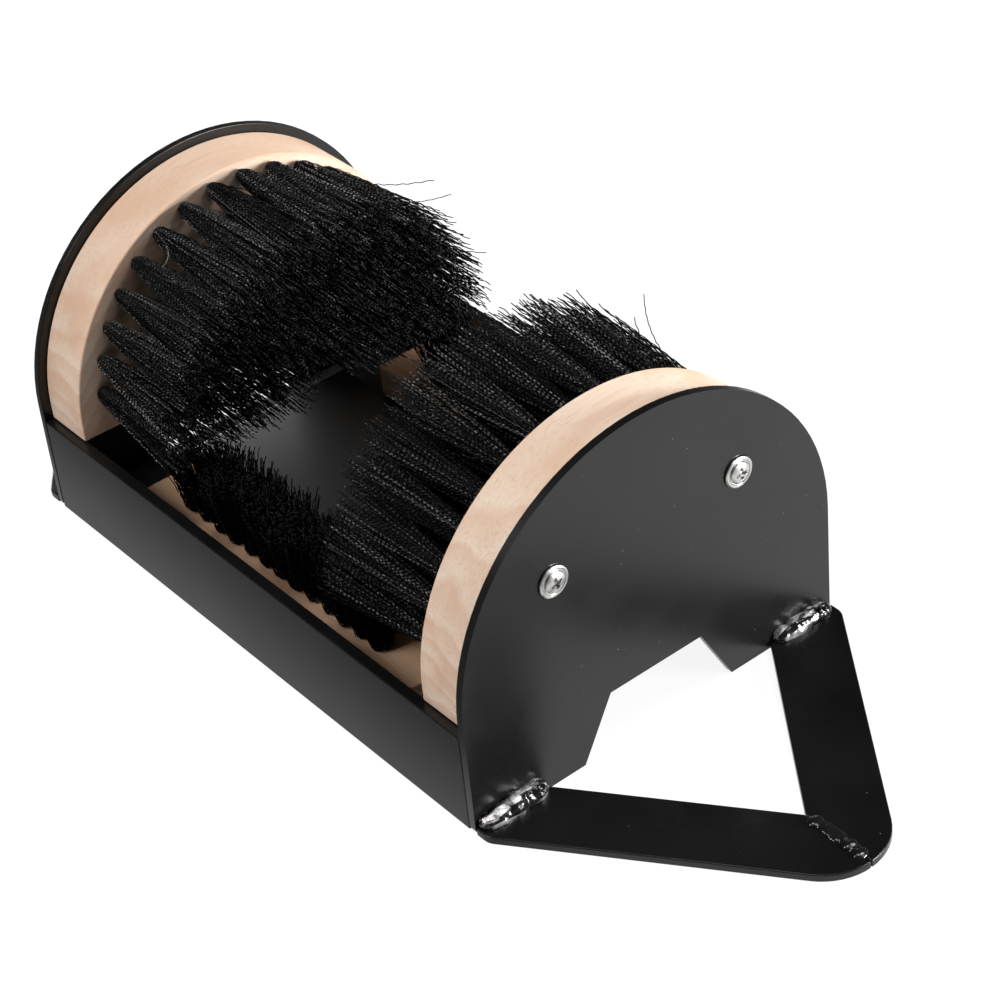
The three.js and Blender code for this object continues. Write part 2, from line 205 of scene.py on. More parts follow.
class Wire:
    """What comes out of a node, worked with like a number and led into other nodes."""

    def __init__(self, tree, socket):
        self.tree = tree
        self.socket = socket

    def into(self, kind, inputs=None, output=0, **properties):
        """Leads it into the first input of a new node."""
        return add_node(self.tree, kind, {0: self, **(inputs or {})}, output, **properties)

    def maths(self, operation, other=0.0, clamp=False):
        return self.into("ShaderNodeMath", {1: other}, operation=operation, use_clamp=clamp)

    def __add__(self, other):
        return self.maths("ADD", other)

    def __sub__(self, other):
        return self.maths("SUBTRACT", other)

    def __rsub__(self, number):
        return add_node(self.tree, "ShaderNodeMath", {0: number, 1: self}, operation="SUBTRACT")

    def __mul__(self, other):
        return self.maths("MULTIPLY", other)

    def __truediv__(self, other):
        return self.maths("DIVIDE", other)

    def vector_maths(self, operation, other):
        return self.into("ShaderNodeVectorMath", {1: other}, operation=operation)

    def scaled(self, factor):
        """A vector made longer or shorter."""
        return self.into("ShaderNodeVectorMath", {"Scale": factor}, operation="SCALE")

    def length(self):
        return self.into("ShaderNodeVectorMath", output="Value", operation="LENGTH")

    def parts(self):
        """The x, y and z of a vector."""
        return [self.into("ShaderNodeSeparateXYZ", output=axis) for axis in range(3)]

    def stepped(self, low, high, first, last):
        """Maps it between low and high to between first and last, held at both ends."""
        return self.into("ShaderNodeMapRange", {1: low, 2: high, 3: first, 4: last}, clamp=True)

    def blended(self, first, second):
        """A number that goes from first to second as this one goes from 0 to 1."""
        return self.into("ShaderNodeMix", {"A_Float": first, "B_Float": second})

    def mixed_colour(self, first, second):
        """A colour that goes from first to second as this number goes from 0 to 1."""
        return self.into(
            "ShaderNodeMix", {"A_Color": opaque(first), "B_Color": opaque(second)}, "Result_Color",
            data_type="RGBA")

    def ramp(self, *stops):
        """A colour ramp over it. Each stop is a place and a colour."""
        colours = self.into("ShaderNodeValToRGB")
        elements = colours.socket.node.color_ramp.elements
        while len(elements) < len(stops):
            elements.new(0.5)
        for element, (place, shade) in zip(elements, stops):
            element.position = place
            element.color = opaque(shade)
        return colours

    def bumped(self, distance, strength):
        return add_node(
            self.tree, "ShaderNodeBump", {"Height": self, "Distance": distance, "Strength": strength})

    def stored(self, name, value, kind="FLOAT"):
        """Geometry with a named value on its points."""
        return self.into(
            "GeometryNodeStoreNamedAttribute", {"Name": name, "Value": value}, data_type=kind,
            domain="POINT")


def find_socket(sockets, key):
    """The socket with that place, identifier or name."""
    if isinstance(key, int):
        return sockets[key]
    for socket in sockets:
        if socket.identifier == key:
            return socket
    return sockets[key]


def feed(socket, value):
    """Leads a wire into a socket, or sets the socket's value."""
    if isinstance(value, Wire):
        value.tree.links.new(value.socket, socket)
    else:
        socket.default_value = value


def add_node(tree, kind, inputs=None, output=0, **properties):
    """Adds a node, feeds its inputs and gives one of its outputs."""
    node = tree.nodes.new(kind)
    for name, value in properties.items():
        setattr(node, name, value)
    for key, value in (inputs or {}).items():
        feed(find_socket(node.inputs, key), value)
    return Wire(tree, find_socket(node.outputs, output))


def add_last_node(kind, wire):
    """Leads a wire into the node that ends its tree."""
    feed(wire.tree.nodes.new(kind).inputs[0], wire)


def opaque(shade):
    """A colour with full alpha, or a wire as it is."""
    return shade if isinstance(shade, Wire) else (*shade, 1.0)


def combined(tree, x, y, z):
    return add_node(tree, "ShaderNodeCombineXYZ", {0: x, 1: y, 2: z})


def total(vectors):
    result = vectors[0]
    for vector in vectors[1:]:
        result = result.vector_maths("ADD", vector)
    return result


def recalled(tree, name, kind):
    """A named value that was stored on the points."""
    return add_node(tree, "GeometryNodeInputNamedAttribute", {"Name": name}, data_type=kind)


def chance(low, high, identity, seed):
    """A random number between low and high for each identity."""
    return add_node(
        identity.tree, "FunctionNodeRandomValue",
        {"Min_001": low, "Max_001": high, "ID": identity, "Seed": seed}, "Value_001", data_type="FLOAT")


INPUT_KINDS = {int: "Int", float: "Float", Vector: "Vector", bpy.types.Material: "Material"}


def shape_tree(build, values):
    """The Geometry Nodes tree of a build function, with a named input for each of the values."""
    tree = bpy.data.node_groups.get(build.__name__)
    if tree:
        return tree
    tree = bpy.data.node_groups.new(build.__name__, "GeometryNodeTree")
    kinds = {label: INPUT_KINDS[type(value)] for label, value in values.items()}
    for label, kind in {"Geometry": "Geometry", **kinds}.items():
        tree.interface.new_socket(label, in_out="INPUT", socket_type="NodeSocket" + kind)
    tree.interface.new_socket("Geometry", in_out="OUTPUT", socket_type="NodeSocketGeometry")
    source = tree.nodes.new("NodeGroupInput")
    inputs = {socket.name: Wire(tree, socket) for socket in source.outputs}
    real = build(tree, inputs).into("GeometryNodeRealizeInstances")
    dressed = real.into("GeometryNodeSetMaterial", {"Material": inputs["Material"]})
    add_last_node("NodeGroupOutput", dressed)
    return tree


# Meshes

def placed(name, mesh):
    """A new object for a mesh, in the scene and at the origin."""
    piece = bpy.data.objects.new(name, mesh)
    bpy.context.scene.collection.objects.link(piece)
    return piece


def settle(piece):
    """Turns a piece with modifiers into a plain mesh."""
    graph = bpy.context.evaluated_depsgraph_get()
    shaped = bpy.data.meshes.new_from_object(
        piece.evaluated_get(graph), preserve_all_data_layers=True, depsgraph=graph)
    if not shaped.polygons:
        raise RuntimeError(f"{piece.name} came out empty")
    rough = piece.data
    piece.modifiers.clear()
    piece.data = shaped
    bpy.data.meshes.remove(rough)
    shaped.name = piece.name


def shaped_by(build, name, mesh, values):
    """A piece that the tree of a build function makes from a starting mesh."""
    tree = shape_tree(build, values)
    piece = placed(name, mesh)
    modifier = piece.modifiers.new("shape", "NODES")
    modifier.node_group = tree
    for socket in tree.interface.items_tree:
        if socket.in_out == "INPUT" and socket.name in values:
            modifier[socket.identifier] = values[socket.name]
    settle(piece)
    return piece


def round_edges(piece, radius, segments=2):
    """Rounds the sharp edges of a piece and keeps its flat faces flat."""
    piece.data.shade_smooth()
    bevel = piece.modifiers.new("rounding", "BEVEL")
    bevel.width = radius
    bevel.segments = segments
    bevel.limit_method = "ANGLE"
    bevel.angle_limit = math.radians(30)
    bevel.harden_normals = True
    settle(piece)


def points_mesh(name, points, edges=()):
    mesh = bpy.data.meshes.new(name)
    mesh.from_pydata([tuple(point) for point in points], list(edges), [])
    return mesh


def mesh_of(name, shape):
    """A new mesh with a finished shape, whose faces point outwards."""
    bmesh.ops.recalc_face_normals(shape, faces=shape.faces)
    mesh = bpy.data.meshes.new(name)
    shape.to_mesh(mesh)
    shape.free()
    return mesh


def add_walls(shape, near, far):
    """Joins two rings of corners with a face for each side."""
    for index, corner in enumerate(near):
        after = (index + 1) % len(near)
        shape.faces.new((corner, near[after], far[after], far[index]))


def prism(name, outline, low, high):
    """A solid along X with an outline of (y, z) points."""
    shape = bmesh.new()
    rings = [[shape.verts.new((x, y, z)) for y, z in outline] for x in (low, high)]
    for ring in rings:
        shape.faces.new(ring)
    add_walls(shape, *rings)
    return mesh_of(name, shape)


def hand_over(piece, slot, *nodes):
    """Says what a finished piece rides on and hides the nodes that it stands for; the slot is not used."""
    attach(piece, "root")
    if nodes:
        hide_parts(*nodes)


def at_corners(pattern):
    """The names of four like nodes, from a pattern of their side and end."""
    return [pattern.format(side=side, end=end) for side in SIDES for end in ENDS]


# Materials

def new_material(name):
    """An empty material and its node tree."""
    material = bpy.data.materials.new(name)
    material.use_nodes = True
    material.node_tree.nodes.clear()
    return material, material.node_tree


def end_material(material, inputs):
    """Ends a material in one shader with these inputs."""
    shader = add_node(material.node_tree, "ShaderNodeBsdfPrincipled", inputs)
    add_last_node("ShaderNodeOutputMaterial", shader)
    return material


def one_of(name, make, *values):
    """A material by name, made on its first use."""
    return bpy.data.materials.get(name) or make(name, *values)


def on_object(tree, stretch=(1.0, 1.0, 1.0)):
    """Object coordinates, stretched."""
    here = add_node(tree, "ShaderNodeTexCoord", output="Object")
    return here.into("ShaderNodeMapping", {"Scale": stretch})


def noise(where, scale, detail=2.0, roughness=0.5):
    return where.into(
        "ShaderNodeTexNoise", {"Scale": scale, "Detail": detail, "Roughness": roughness})


def powder_coat(name, coat, roughness):
    """Satin black powder coat with a fine orange peel, faint clouds and a few specks of dust."""
    material, tree = new_material(name)
    here = on_object(tree)
    clouds = noise(here, 28.0, 4.0)
    peel = noise(here, 1400.0)
    grit = here.into("ShaderNodeTexVoronoi", {"Scale": 150.0}, "Distance")
    speck = grit.stepped(0.022, 0.036, 1.0, 0.0)
    shade = clouds.ramp((0.3, tuple(coat)), (0.7, tuple(channel * 1.5 for channel in coat)))
    return end_material(material, {
        "Base Color": speck.mixed_colour(shade, (0.16, 0.16, 0.16)),
        "Roughness": clouds.stepped(0.3, 0.7, roughness - 0.04, roughness + 0.05),
        "Normal": peel.bumped(0.00003, 0.6),
        "IOR": 1.42,
    })


def scorched_edge(tree):
    """1 along the round edge of a side block that faces the boot, else 0."""
    x, y, z = on_object(tree).parts()
    radius = combined(tree, 0.0, y, z - SHOULDER).length()
    rim = radius.stepped(BLOCK_RADIUS - 1.0 * MM, BLOCK_RADIUS - 0.5 * MM, 0.0, 1.0)
    inner = BLOCK_OUTER - bpy.context.scene.boot_scraper_wood.thickness
    face = x.maths("ABSOLUTE").stepped(inner + 0.3 * MM, inner + 0.8 * MM, 0.4, 0.0)
    return rim * face


def growth_lines(tree, grain_axis, drift, bow):
    """Growth lines, bowed like the rings of a trunk along the grain."""
    place = on_object(tree).parts()
    x, _, z = place
    along = place[grain_axis]
    height = (z + along * along * bow) * 170.0 + drift * 4.0
    return combined(tree, x * 20.0, 0.0, height).into(
        "ShaderNodeTexWave", {"Scale": 0.3, "Distortion": 1.2, "Detail": 2.0},
        wave_type="BANDS", bands_direction="Z", wave_profile="SAW")


def sanded_wood(name, pale, grain, grain_axis, bow=0.0, scorch=None):
    """Pale wood with soft growth lines and short darker pores along the grain."""
    material, tree = new_material(name)

    def grained(across, along, detail=2.0, roughness=0.5):
        """Noise that is drawn out along the grain."""
        stretch = tuple(along if axis == grain_axis else across for axis in range(3))
        return noise(on_object(tree, stretch), 1.0, detail, roughness)

    lines = growth_lines(tree, grain_axis, grained(24.0, 5.0), bow)
    pores = grained(1100.0, 45.0, 2.0, 0.7)
    stains = grained(60.0, 12.0, 3.0)
    middle = tuple(0.5 * light + 0.5 * dark for light, dark in zip(pale, grain))
    growth = lines.ramp((0.0, tuple(pale)), (0.78, middle), (1.0, tuple(pale)))
    stained = stains.stepped(0.46, 0.64, 0.0, 0.5).mixed_colour(growth, grain)
    streaked = pores.stepped(0.5, 0.75, 0.0, 0.6).mixed_colour(stained, grain)
    if scorch:
        streaked = scorched_edge(tree).mixed_colour(streaked, scorch)
    return end_material(material, {
        "Base Color": streaked,
        "Roughness": pores.stepped(0.3, 0.8, 0.55, 0.75),
        "Normal": pores.bumped(0.00008, 0.5),
    })


def nylon_with_painted_glints(name, settings, bright):
    """Black nylon with painted glints: the crests of the crimp are painted in dashes of chance brightness,
    and now and then an entire filament is painted pale, in place of the light that glints on them; with
    pale cut ends.
    """
    material, tree = new_material(name)

    def mark(label):
        return add_node(tree, "ShaderNodeAttribute", output="Fac", attribute_name=label)

    def luck(key, power):
        """A brightness by chance for each filament and key, rarely high."""
        spot = combined(tree, mark("strand"), mark("tuft"), key)
        return spot.into("ShaderNodeTexWhiteNoise", noise_dimensions="3D").maths("POWER", power)

    crimps = mark("along") / settings.crimp_length
    wave = (crimps * WHOLE_TURN).maths("SINE")
    # Painted glints: the crests of the crimp take a paler colour of chance brightness in place of light
    # that glints there.
    painted_glint = wave.stepped(0.0, 0.35, 0.0, 1.0)
    dashes = painted_glint * (luck(-5.0, 4.0) * luck(crimps.maths("FLOOR"), 1.5).blended(0.25, 1.5))
    # Painted sheen: now and then an entire filament is painted pale, palest at its crests.
    painted_strand_sheen = wave.stepped(-0.6, 0.8, 0.15, 1.0) * luck(-7.0, 30.0)
    crimped = dashes.maths("MAXIMUM", painted_strand_sheen).mixed_colour(settings.nylon, bright)
    cut_end = mark("cut_end").stepped(0.7, 0.95, 0.0, 1.0) * luck(-3.0, 1.0)
    return end_material(material, {
        "Base Color": cut_end.mixed_colour(crimped, settings.cut),
        "Roughness": 0.5,
        "IOR": 1.2,
        "Specular IOR Level": 0.12,
    })


def zinc_plating(name, settings):
    """Bright zinc with faint dull patches."""
    material, tree = new_material(name)
    patches = noise(on_object(tree), 420.0, 3.0)
    return end_material(material, {
        "Base Color": opaque(settings.plating),
        "Metallic": 1.0,
        "Roughness": patches.stepped(0.3, 0.7, 0.26, 0.34),
        "Normal": patches.bumped(0.00001, 0.1),
    })


def weld_coat(name, settings, least):
    """Glossy black coat on weld metal, silvery with thin dark cracks where patches pass the least value;
    the silvery patches are partly uncoated metal and partly painted highlight.
    """
    material, tree = new_material(name)
    patches = noise(on_object(tree, (260.0, 75.0, 260.0)), 1.0)
    streaks = noise(on_object(tree, (700.0, 130.0, 700.0)), 1.0)
    solid = (streaks - 0.5).maths("ABSOLUTE").stepped(0.008, 0.022, 0.0, 1.0)
    # The pale patches are partly uncoated metal and partly a painted highlight.
    thin = patches.stepped(least, least + 0.04, 0.0, 1.0) * solid
    return end_material(material, {
        "Base Color": thin.mixed_colour(settings.coat, settings.metal_and_highlight),
        "Metallic": thin * 0.65,
        "Roughness": thin.stepped(0.0, 1.0, 0.14, 0.36),
        "Normal": streaks.bumped(0.0003, 0.7),
    })


# Steel frame

def coated_copy(node):
    """A copy of a steel piece with rounded edges, in place of it."""
    settings = bpy.context.scene.boot_scraper_steel
    if node == "base_plate":
        coat = one_of("satin coat", powder_coat, settings.sheet_coat, settings.sheet_roughness)
    else:
        coat = one_of("powder coat", powder_coat, settings.coat, settings.roughness)
    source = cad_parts[node].data
    mesh = bpy.data.meshes.new(node)
    mesh.from_pydata(
        [vertex.co.copy() for vertex in source.vertices], [],
        [tuple(polygon.vertices) for polygon in source.polygons])
    shape = bmesh.new()
    shape.from_mesh(mesh)
    bmesh.ops.remove_doubles(shape, verts=shape.verts, dist=0.01 * MM)
    bmesh.ops.dissolve_limit(
        shape, angle_limit=math.radians(1), verts=shape.verts, edges=shape.edges)
    shape.to_mesh(mesh)
    shape.free()
    mesh.materials.append(coat)
    piece = placed(node + "_coated", mesh)
    round_edges(piece, settings.rounding)
    hand_over(piece, "coated_steel", node)


class BOOTSCRAPER_OT_end_plates(bpy.types.Operator):
    """Coats both end plates and rounds their edges"""
    bl_idname = "boot_scraper.end_plates"
    bl_label = "End Plates"

    def execute(self, context):
        for side in SIDES:
            coated_copy(side + "_end_plate")
        return {"FINISHED"}


class BOOTSCRAPER_OT_strips_and_base(bpy.types.Operator):
    """Coats the two strips and the base plate between them"""
    bl_idname = "boot_scraper.strips_and_base"
    bl_label = "Strips and Base Plate"

    def execute(self, context):
        for node in ("front_strip", "rear_strip", "base_plate"):
            coated_copy(node)
        return {"FINISHED"}


class BOOTSCRAPER_OT_outriggers(bpy.types.Operator):
    """Coats the four flat bars that stand on the floor"""
    bl_idname = "boot_scraper.outriggers"
    bl_label = "Outriggers"

    def execute(self, context):
        for node in at_corners("{side}_{end}_outrigger"):
            coated_copy(node)
        return {"FINISHED"}


# Wooden backs

GRAIN_ALONG_X = 0
GRAIN_ALONG_Y = 1


def sawn_back(name, outline, low, high, wood, node):
    """A wooden back with sanded edges, in place of its node."""
    mesh = prism(name, outline, low, high)
    mesh.materials.append(wood)
    piece = placed(name, mesh)
    round_edges(piece, bpy.context.scene.boot_scraper_wood.rounding, 3)
    hand_over(piece, "wood", node)


def block_outline(steps=96):
    """The half-round outline of a side block as (y, z) points."""
    arc = []
    for step in range(steps + 1):
        angle = math.pi * step / steps
        arc.append((BLOCK_RADIUS * math.cos(angle), SHOULDER + BLOCK_RADIUS * math.sin(angle)))
    return [(BLOCK_RADIUS, BLOCK_BOTTOM), *arc, (-BLOCK_RADIUS, BLOCK_BOTTOM)]


class BOOTSCRAPER_OT_side_blocks(bpy.types.Operator):
    """Cuts the two half-round wooden blocks of the side brushes"""
    bl_idname = "boot_scraper.side_blocks"
    bl_label = "Side Blocks"

    def execute(self, context):
        settings = context.scene.boot_scraper_wood
        bow = 0.5 / BLOCK_RADIUS
        wood = one_of(
            "block wood", sanded_wood, settings.block, settings.block_grain, GRAIN_ALONG_Y, bow,
            settings.scorch)
        for side, sign in SIDES.items():
            faces = sorted((sign * BLOCK_OUTER, sign * (BLOCK_OUTER - settings.thickness)))
            sawn_back(side + "_wooden_block", block_outline(), *faces, wood, side + "_brush_block")
        return {"FINISHED"}


class BOOTSCRAPER_OT_brush_boards(bpy.types.Operator):
    """Cuts the two wooden boards of the bottom brushes"""
    bl_idname = "boot_scraper.brush_boards"
    bl_label = "Brush Boards"

    def execute(self, context):
        settings = context.scene.boot_scraper_wood
        wood = one_of(
            "board wood", sanded_wood, settings.board, settings.board_grain, GRAIN_ALONG_X)
        for end in ENDS:
            low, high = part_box(end + "_brush_board")
            outline = [(low.y, low.z), (high.y, low.z), (high.y, high.z), (low.y, high.z)]
            sawn_back(end + "_wooden_board", outline, low.x, high.x, wood, end + "_brush_board")
        return {"FINISHED"}


# Brushes

# Seeds of the random draws in each brush, and what each part of a side brush adds to them
BRUSH_SEEDS = {"right": 100, "left": 160, "front": 300, "rear": 350}
PART_SEEDS = {"outer": 20, "middle": 40, "inner": 60, "stray": 69}

# Tufts have fewer filaments than this, so that each filament has its own number
MOST_FILAMENTS = 512.0

# How far the filaments' crimps are shifted along each other at most
SLIP = 0.5 * MM


def tuft_strands(tree, inputs):
    """One straight unit line for each filament, with its root, tuft and number stored on it."""
    roots = inputs["Geometry"].into("GeometryNodeMeshToPoints")
    roots = roots.stored("root", add_node(tree, "GeometryNodeInputPosition"), "FLOAT_VECTOR")
    roots = roots.stored("tuft", add_node(tree, "GeometryNodeInputIndex"), "INT")
    copies = roots.into(
        "GeometryNodeDuplicateElements", {"Amount": inputs["Filaments"]}, domain="POINT")
    number = Wire(tree, copies.socket.node.outputs["Duplicate Index"])
    line = add_node(
        tree, "GeometryNodeCurvePrimitiveLine", {"Start": (0.0, 0.0, 0.0), "End": (0.0, 0.0, 1.0)})
    line = line.into("GeometryNodeResampleCurve", {"Count": inputs["Steps"] + 1.0})
    lines = copies.stored("strand", number, "INT").into(
        "GeometryNodeInstanceOnPoints", {"Instance": line})
    return lines.into("GeometryNodeRealizeInstances")


def bundle_radius(inputs, along):
    """The radius of a tuft: rounded at its root, then wider towards its tips."""
    rise = 1.0 - along.maths("MULTIPLY", 14.0, clamp=True)
    finger = 1.0 - rise.maths("POWER", 2.0) * 0.45
    fan = along.maths("POWER", 0.75).blended(inputs["Root Radius"], inputs["Tip Radius"])
    return fan * finger


def strand_place(tree, inputs, along):
    """Where each point of a filament goes."""
    tuft = recalled(tree, "tuft", "INT")
    strand = recalled(tree, "strand", "INT")
    filament = tuft * MOST_FILAMENTS + strand

    def luck(draw, identity, low=0.0, high=1.0):
        """A random number of its own for each draw and identity."""
        return chance(low, high, identity, inputs["Seed"] + float(draw))

    def shifted(angle, radius):
        """Two offsets in the plane of the tuft."""
        return angle.maths("COSINE") * radius, angle.maths("SINE") * radius

    part = (strand + 0.5) / inputs["Filaments"]
    radius = part.maths("SQRT") * bundle_radius(inputs, along)
    spiral = strand * GOLDEN_ANGLE + luck(1, tuft, 0.0, WHOLE_TURN)
    stray = inputs["Wander"] * along.maths("POWER", 2.0) * luck(2, filament)
    number = add_node(tree, "GeometryNodeSplineParameter", output="Index")
    zigzag = (number * math.pi).maths("COSINE") * along.maths("MULTIPLY", 10.0, clamp=True)
    throw = zigzag * inputs["Crimp"] * luck(3, filament, 0.5, 1.1)
    plane = luck(4, tuft, 0.0, WHOLE_TURN) + luck(5, filament, -0.5, 0.5)
    moves = [
        shifted(spiral, radius),
        shifted(luck(6, filament, 0.0, WHOLE_TURN), stray),
        shifted(luck(7, tuft, 0.0, WHOLE_TURN), inputs["Lean"] * along),
        shifted(plane, throw),
    ]
    reach = inputs["Reach"] * (1.0 - luck(8, filament) * inputs["Unevenness"])
    steps = [recalled(tree, "root", "FLOAT_VECTOR"), inputs["Direction"].scaled(reach * along)]
    for across, away in moves:
        steps.append(inputs["Across"].scaled(across))
        steps.append(inputs["Away"].scaled(away))
    return total(steps)


def crimped_tufts(tree, inputs):
    """Tufts of crimped filaments that grow from the points of a mesh."""
    part = add_node(tree, "GeometryNodeSplineParameter", output="Factor")
    slip = chance(0.0, SLIP, recalled(tree, "strand", "INT"), inputs["Seed"])
    strands = tuft_strands(tree, inputs).stored("along", part * inputs["Reach"] + slip)
    strands = strands.stored("cut_end", part.maths("GREATER_THAN", 0.999))
    bent = strands.into(
        "GeometryNodeSetPosition", {"Position": strand_place(tree, inputs, part)})
    section = add_node(
        tree, "GeometryNodeCurvePrimitiveCircle",
        {"Resolution": 3, "Radius": inputs["Thickness"] * 0.5}, mode="RADIUS")
    return bent.into("GeometryNodeCurveToMesh", {"Profile Curve": section, "Fill Caps": True})


def grown_brush(name, roots, settings, direction, seed, length, node, stray=False):
    """Tufts, or a few stray filaments, that stand on their roots in one direction."""
    bristle = bpy.context.scene.boot_scraper_bristle
    # Both nylons carry painted glints; the bottom brushes take the dimmer copy, a painted shade.
    if direction == AXIS_Z:
        across = AXIS_X
        nylon = one_of("low crimped nylon", nylon_with_painted_glints, bristle, bristle.shaded_painted_glint)
    else:
        across = AXIS_Y
        nylon = one_of("crimped nylon", nylon_with_painted_glints, bristle, bristle.painted_glint)
    filaments = bristle.strays if stray else settings.filaments
    values = {
        "Filaments": filaments,
        "Steps": settings.steps,
        "Reach": length + bristle.depth,
        "Root Radius": settings.root,
        "Tip Radius": settings.tip,
        "Thickness": bristle.thickness,
        "Crimp": bristle.crimp,
        "Wander": bristle.stray_wander if stray else settings.wander,
        "Lean": 0.6 * settings.wander,
        "Unevenness": 0.3 if stray else bristle.unevenness,
        "Direction": direction,
        "Across": across,
        "Away": direction.cross(across),
        "Seed": seed,
        "Material": nylon,
    }
    sunk = [Vector(root) - bristle.depth * direction for root in roots]
    piece = shaped_by(crimped_tufts, name, points_mesh(name, sunk), values)
    hand_over(piece, "bristles", node)


def side_tuft_rings(settings):
    """The (y, z) places of the tufts, ring by ring from the outermost."""
    rise = settings.lowest - settings.middle
    rings = []
    radius = settings.outer_radius
    while radius > rise:
        first = math.asin(rise / radius)
        reach = math.pi - 2 * first
        steps = round(reach * radius / settings.pitch)
        ring = []
        for step in range(steps + 1):
            angle = first + reach * step / steps
            ring.append((radius * math.cos(angle), settings.middle + radius * math.sin(angle)))
        rings.append(ring)
        radius -= settings.ring_step
    return rings


class BOOTSCRAPER_OT_side_brushes(bpy.types.Operator):
    """Grows the tufts of the two side brushes"""
    bl_idname = "boot_scraper.side_brushes"
    bl_label = "Side Brushes"

    def execute(self, context):
        settings = context.scene.boot_scraper_side_brush
        inner = BLOCK_OUTER - context.scene.boot_scraper_wood.thickness
        rings = side_tuft_rings(settings)
        parts = {"outer": rings[:1], "middle": rings[1:2], "inner": rings[2:], "stray": rings[:1]}
        for side, sign in SIDES.items():
            for part, chosen in parts.items():
                roots = [(sign * inner, y, z) for ring in chosen for y, z in ring]
                grown_brush(
                    f"{side}_bristles_{part}", roots, settings, -sign * AXIS_X,
                    BRUSH_SEEDS[side] + PART_SEEDS[part], settings.reach, side + "_brush_tufts",
                    part == "stray")
        return {"FINISHED"}


class BOOTSCRAPER_OT_bottom_brushes(bpy.types.Operator):
    """Grows the two staggered rows of tufts on both bottom boards"""
    bl_idname = "boot_scraper.bottom_brushes"
    bl_label = "Bottom Brushes"

    def execute(self, context):
        settings = context.scene.boot_scraper_bottom_brush
        board_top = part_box("front_brush_board")[1].z
        for end, sign in ENDS.items():
            roots = []
            for row in range(2):
                tufts = settings.tufts - row
                for tuft in range(tufts):
                    x = (tuft - (tufts - 1) / 2) * settings.pitch
                    y = sign * (settings.front_row - row * settings.pitch)
                    roots.append((x, y, board_top))
            grown_brush(
                end + "_bristles", roots, settings, AXIS_Z, BRUSH_SEEDS[end],
                settings.top - board_top, end + "_brush_tufts")
        return {"FINISHED"}


# Screws

def turned_head(name, profile, segments=48):
    """A closed head on the +X axis from (radius, height) points, whose ends lie on the axis."""
    shape = bmesh.new()
    corners = [shape.verts.new((height, radius, 0.0)) for radius, height in profile]
    edges = [shape.edges.new(pair) for pair in zip(corners, corners[1:])]
    bmesh.ops.spin(
        shape, geom=corners + edges, cent=(0, 0, 0), axis=AXIS_X, angle=WHOLE_TURN, steps=segments)
    bmesh.ops.remove_doubles(shape, verts=shape.verts, dist=0.001 * MM)
    return mesh_of(name, shape)


def cross_cutter(top, length, width, depth):
    """A tapered cross that cuts the recess of a screw head, open towards +X."""
    shape = bmesh.new()
    mouth = (top + 1.0 * MM, 0.62 * length, 0.60 * width)
    foot = (top - depth, 0.22 * length, 0.28 * width)
    for turn in (0.0, math.pi / 2):
        rings = []
        for height, half_length, half_width in (mouth, foot):
            ring = []
            for y, z in ((-1, -1), (1, -1), (1, 1), (-1, 1)):
                corner = Vector((height, y * half_length, z * half_width))
                corner.rotate(Matrix.Rotation(turn, 3, "X"))
                ring.append(shape.verts.new(corner))
            shape.faces.new(ring)
            rings.append(ring)
        add_walls(shape, *rings)
    return mesh_of("cross", shape)


def recessed(head, cutter):
    """The head with the cutter taken out of it, as a mesh."""
    blank = placed("screw blank", head)
    tool = placed("cross tool", cutter)
    cut = blank.modifiers.new("recess", "BOOLEAN")
    cut.operation = "DIFFERENCE"
    cut.solver = "EXACT"
    cut.object = tool
    cut.use_self = True
    settle(blank)
    mesh = blank.data
    bpy.data.objects.remove(blank)
    bpy.data.objects.remove(tool)
    return mesh


def four_screws(tree, inputs):
    """A screw at each of the four corners of a rectangle, turned by chance."""
    corners = add_node(
        tree, "GeometryNodeMeshGrid",
        {"Size X": inputs["Along"] * 2.0, "Size Y": inputs["Across"] * 2.0, "Vertices X": 2,
         "Vertices Y": 2})
    raised = corners.into(
        "GeometryNodeSetPosition", {"Offset": combined(tree, 0.0, 0.0, inputs["Height"])})
    x = add_node(tree, "GeometryNodeInputPosition").parts()[0]
    turn = chance(0.0, WHOLE_TURN, add_node(tree, "GeometryNodeInputIndex"), inputs["Seed"])
    behind = x.maths("LESS_THAN", 0.0) * math.pi
    side_on = behind * (1.0 - inputs["Down"])
    rotation = combined(tree, turn, inputs["Down"] * (math.pi / 2), side_on).into(
        "FunctionNodeEulerToRotation")
    return raised.into(
        "GeometryNodeInstanceOnPoints", {"Instance": inputs["Geometry"], "Rotation": rotation})


def screw_group(name, mesh, values, nodes):
    settings = bpy.context.scene.boot_scraper_screw
    values["Material"] = one_of("zinc plating", zinc_plating, settings)
    piece = shaped_by(four_screws, name, mesh, values)
    round_edges(piece, 0.08 * MM)
    hand_over(piece, "zinc", *nodes)


class BOOTSCRAPER_OT_block_screws(bpy.types.Operator):
    """Sets the flanged screws that hold the side blocks to the end plates"""
    bl_idname = "boot_scraper.block_screws"
    bl_label = "Block Screws"

    def execute(self, context):
        settings = context.scene.boot_scraper_screw
        flange = settings.flange
        top = settings.head
        shank = 2.1 * MM
        profile = [
            (0.0, -15 * MM), (shank, -12 * MM), (shank, 0.0), (flange - 0.3 * MM, 0.0), (flange, 0.3 * MM),
            (flange - 0.1 * MM, 0.7 * MM), (0.90 * flange, 0.95 * MM), (0.82 * flange, 0.9 * MM),
            (0.77 * flange, 0.55 * MM), (0.73 * flange, 0.6 * MM), (0.66 * flange, 0.62 * top),
            (0.50 * flange, 0.84 * top), (0.25 * flange, 0.97 * top), (0.0, top)]
        head = turned_head("block_screw", profile)
        cutter = cross_cutter(top, length=5.6 * MM, width=1.5 * MM, depth=1.5 * MM)
        values = {
            "Along": PLATE_FACE + 0.05 * MM, "Across": settings.across, "Height": settings.height,
            "Down": 0.0, "Seed": 5}
        screw_group(
            "block_screws", recessed(head, cutter), values, at_corners("{side}_{end}_block_screw"))
        return {"FINISHED"}


